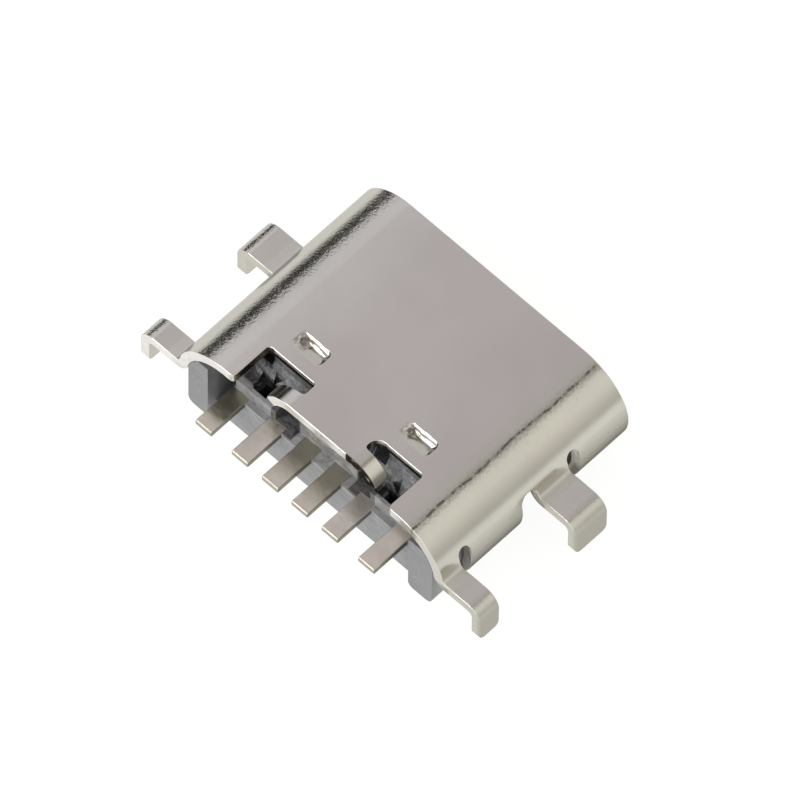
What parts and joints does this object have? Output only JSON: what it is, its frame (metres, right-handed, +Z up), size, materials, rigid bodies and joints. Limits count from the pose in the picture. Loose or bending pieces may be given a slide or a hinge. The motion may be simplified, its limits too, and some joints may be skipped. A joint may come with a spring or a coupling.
{
  "type": "usb-c socket",
  "caption": "Sunk-board USB-C socket: folded metal shell with through-board legs, moulded housing, central contact tongue and flat rear solder tails.",
  "frame": {"origin": "centre of the plug mouth, in the plane of the shell's front face", "axes": "+X across the mouth, -Y out of the mouth toward the plug, +Y toward the solder tails, +Z up, away from the board, the side with the two rear notches"},
  "size_m": [0.0116, 0.0074, 0.0032],
  "materials": {
    "shell_plate": "satin nickel plate over stainless strip, fine grain along the bends",
    "housing_plastic": "moulded, slightly glossy grey-black, fibre-filled",
    "tongue_plastic": "moulded, fine matte",
    "plate_steel": "stamped stainless, bare",
    "pin_metal": "matte tin over copper alloy, gold flash on the contact ends"
  },
  "bodies": {
    "root": {"shell": "shell_plate", "housing": "housing_plastic", "tongue": "tongue_plastic", "mid_plate": "plate_steel", "pin_ground_left": "pin_metal", "pin_power_left": "pin_metal", "pin_config_left": "pin_metal", "pin_config_right": "pin_metal", "pin_power_right": "pin_metal", "pin_ground_right": "pin_metal"}
  },
  "joints": []
}
